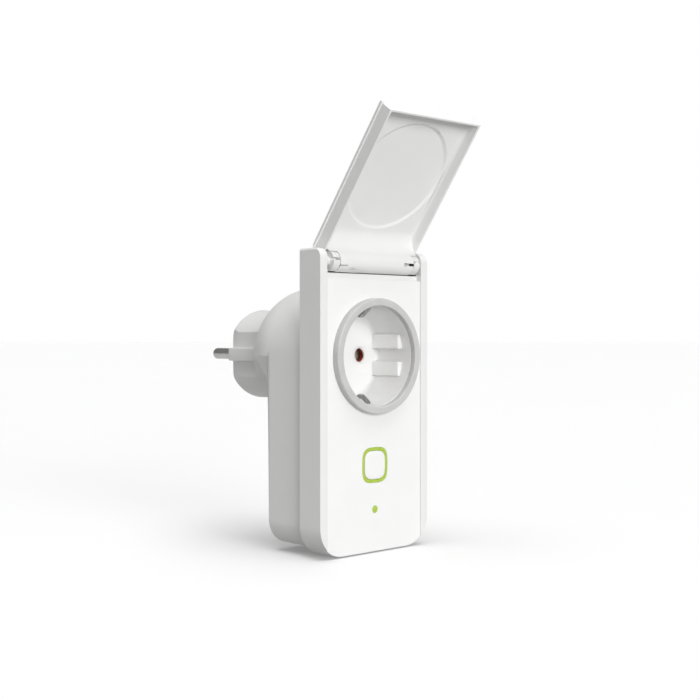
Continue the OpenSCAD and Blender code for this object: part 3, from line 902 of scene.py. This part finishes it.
def quarter(steps):
    """Sines and cosines over a quarter turn."""
    turns = [math.pi / 2 * k / steps for k in range(steps + 1)]
    return [(math.sin(t), math.cos(t)) for t in turns]


def lid_tray():
    """Tray of the lid, from its back over the rim and down to the floor inside."""
    back, rim, corner, lip = 0.35, 0.25, 1.2, 0.55
    stages = [(back * (1 - s), LID_N - back * (1 - c)) for s, c in quarter(4)]
    stages += [(0, LID_N - 1.25), (0.08, LID_N - 1.33), (lip, LID_N - 1.4)]
    stages += [(lip + rim * (1 - c), RIM_N + rim * (1 - s)) for s, c in quarter(3)]
    stages += [(LID_WALL - rim * (1 - s), RIM_N + rim * (1 - c)) for s, c in quarter(3)]
    stages += [(LID_WALL + corner * (1 - c), SKIN_N - corner * (1 - s)) for s, c in quarter(6)]
    return loft("flip_lid", [[in_lid(p.x, p.y, n) for p in lid_outline(gap)] for gap, n in stages])


def lid_corner():
    """Cutter that rounds the lid's back edge at the hinge."""
    r = 2.5
    shape = arc(LID_N - r, r, r, -90, 0, 8)
    shape += [Vector((LID_N + PAST, r)), Vector((LID_N + PAST, -PAST)), Vector((LID_N - r, -PAST))]
    return prism("cutter", shape, -HALF_W, HALF_W, lid_section)


def lid_barrel(inside):
    """Hinge barrel, with a hollow fillet that runs on into the lid's floor."""
    lift = SKIN_N - FILL_R
    rise = math.sqrt((BARREL_R + FILL_R) ** 2 - lift ** 2)
    meet = math.degrees(math.atan2(rise, lift))
    section = arc(0, 0, BARREL_R, meet, 320, 110)
    section += [Vector((5.2, -0.4)), Vector((SKIN_N + 0.5, 0.4)), Vector((SKIN_N + 0.5, rise))]
    section += arc(lift, rise, FILL_R, 0, meet - 180, 24)[:-1]
    stations = [-inside, -17, -13, -8, 0, 8, 16, inside]
    return loft("barrel", [[lid_section(p.x, p.y, x) for p in section] for x in stations])


def flip_lid():
    """Tray-shaped lid with a hinge barrel and a shallow round dish over the seal ring."""
    inside = LID_HW - LID_WALL + 0.2
    lid = lid_tray()
    combine(lid, [lid_corner()])
    combine(lid, [lid_barrel(inside)], "UNION")
    floor_n = SKIN_N + DISH_T
    dish = fillet([(0, SKIN_N - 1, 0), (DISH_R, SKIN_N - 1, 0), (DISH_R, SKIN_N, 0),
                   (DISH_R - DISH_SLOPE, floor_n, 0.6), (0, floor_n, 0)], 4)
    room = []
    for s in (-1, 1):
        room.append(prism("cutter", circle(KNUCKLE_R + 0.25, 48), s * BARREL_HW, s * inside, lid_section))
        room.append(prism("cutter", circle(RIM_N, 48), s * (inside - 0.1), s * HALF_W, lid_section))
    end = BARREL_HW + 0.5
    catch = [cuboid(-end, -16.6, -PAST, 0.6, 35.1, 35.5), cuboid(-14.7, -12.6, -PAST, 0.4, 34.0, 34.5),
             cuboid(14.9, end, -PAST, 1.2, 36.3, 37.3)]
    combine(lid, [
        revolve("cutter", dish, 192, 0, DISH_S, in_lid),
        prism("cutter", circle(AXLE_R + 0.02, 40), -HALF_W, HALF_W, lid_section),
    ] + room + catch)
    soften(lid, 0.15, 2, 45)
    piece(lid, "lid", lid_white, "panel_white", "lid_shell", angle=16)


# ---- CAD nodes that keep their shape --------------------------------------------------------


def dress(node, look):
    """Keeps a CAD node, with rounded edges and its own material."""
    obj = frame["nodes"][node]
    if "custom_normal" in obj.data.attributes:
        obj.data.attributes.remove(obj.data.attributes["custom_normal"])
    obj.data.polygons.foreach_set("use_smooth", [True] * len(obj.data.polygons))
    weld = obj.modifiers.new("weld", "WELD")
    weld.merge_threshold = 1e-6
    flat = obj.modifiers.new("flat", "DECIMATE")
    flat.decimate_type = "DISSOLVE"
    flat.angle_limit = math.radians(1)
    bevel = obj.modifiers.new("bevel", "BEVEL")
    bevel.width = 0.12 * MM
    bevel.segments = 2
    bevel.limit_method = "ANGLE"
    bevel.angle_limit = math.radians(40)
    normals = obj.modifiers.new("normals", "WEIGHTED_NORMAL")
    normals.weight = NORMAL_WEIGHT
    obj.data.materials.clear()
    obj.data.materials.append(look)


front_shell()
face_panel()
rear_shell()
recess_cup()
seal_ring()
light_ring()
push_cap()
led_dot()
button_coil()
helix("shutter_coil", "shutter_spring", 2.3, 0.16, 3)
plug_core()
plug_pin("live_blade", "live_pin", PIN_X)
plug_pin("neutral_blade", "neutral_pin", -PIN_X)
flip_lid()

for name, look in {
    "case_gasket": gasket_grey, "case_screws": steel, "socket_earth_bow": nickel,
    "live_contact": brass, "neutral_contact": brass, "contact_block": cream,
    "shutter": red, "shutter_pivot": steel, "plug_earth_strips": nickel,
    "live_supply_bar": brass, "live_load_bar": brass, "neutral_bar": brass, "earth_bars": brass,
    "control_board": board_green, "power_board": board_green, "board_header": black,
    "relay": blue, "transformer": yellow, "bulk_capacitors": black, "film_capacitor": yellow,
    "varistor": blue, "fuse": cream, "choke": black, "radio_module": nickel, "status_leds": cream,
    "tact_switch": black, "switch_plunger": black, "hinge_pin": steel, "hinge_bushes": white,
}.items():
    dress(name, look)

# ---- Floor, light and camera ------------------------------------------------------------------


def floor():
    """Pale round floor, reaching far out under the white surroundings."""
    radius = 9000
    gap, thickness = 0.0006, 0.002
    obj = loft("floor", [[Vector((p.x * MM, p.y * MM, -BOTTOM * MM - gap - t)) for p in circle(radius)]
                         for t in (0.0, thickness)])
    mat, tree, bsdf = shader("floor", (0.96, 0.96, 0.96), 0.75)
    link(tree, blend_colour(tree, noise(tree, 6, 2), (0.95, 0.95, 0.95), (0.97, 0.97, 0.97)),
         bsdf.inputs["Base Color"])
    obj.data.materials.append(mat)
    obj.visible_diffuse = False


def sun(name, towards, power, angle):
    """Very soft directional light, coming from the given direction."""
    data = bpy.data.lights.new(name, "SUN")
    data.energy = power
    data.angle = math.radians(angle)
    obj = bpy.data.objects.new(name, data)
    obj.rotation_euler = Vector(towards).to_track_quat("Z", "Y").to_euler()
    bpy.context.scene.collection.objects.link(obj)


def surroundings(light):
    """White surroundings, a little dimmer from below, that light the piece softly."""
    world = bpy.data.worlds.new("studio")
    bpy.context.scene.world = world
    world.use_nodes = True
    tree = world.node_tree
    seen = tree.nodes["Background"]
    seen.inputs["Color"].default_value = (1, 1, 1, 1)
    seen.inputs["Strength"].default_value = 1.0
    felt = tree.nodes.new("ShaderNodeBackground")
    felt.inputs["Color"].default_value = (1, 1, 1, 1)
    where = tree.nodes.new("ShaderNodeTexCoord")
    split = tree.nodes.new("ShaderNodeSeparateXYZ")
    link(tree, where.outputs["Generated"], split.inputs["Vector"])
    link(tree, spread(tree, split.outputs["Z"], -0.7, 0.1, light * 0.85, light), felt.inputs["Strength"])
    rays = tree.nodes.new("ShaderNodeLightPath")
    both = tree.nodes.new("ShaderNodeMixShader")
    link(tree, rays.outputs["Is Camera Ray"], both.inputs["Fac"])
    link(tree, felt.outputs["Background"], both.inputs[1])
    link(tree, seen.outputs["Background"], both.inputs[2])
    link(tree, both.outputs["Shader"], tree.nodes["World Output"].inputs["Surface"])


def camera():
    """Camera at the viewing angle of the reference view."""
    data = bpy.data.cameras.new("camera")
    data.lens = 63.82
    data.sensor_width = 36
    data.shift_y = -0.0278
    data.clip_start = 0.01
    obj = bpy.data.objects.new("camera", data)
    obj.location = (-0.348447, rim_y - 0.34872, 0.01014)
    obj.rotation_euler = (math.radians(90), 0, math.radians(-43.771))
    bpy.context.scene.collection.objects.link(obj)
    bpy.context.scene.camera = obj


floor()
surroundings(0.36)
sun("key", (-0.23, -0.96, 0.08), 3.0, 40)
sun("top", (-0.05, -0.1, 1.0), 1.9, 60)
camera()
bpy.context.scene.view_settings.view_transform = "Standard"
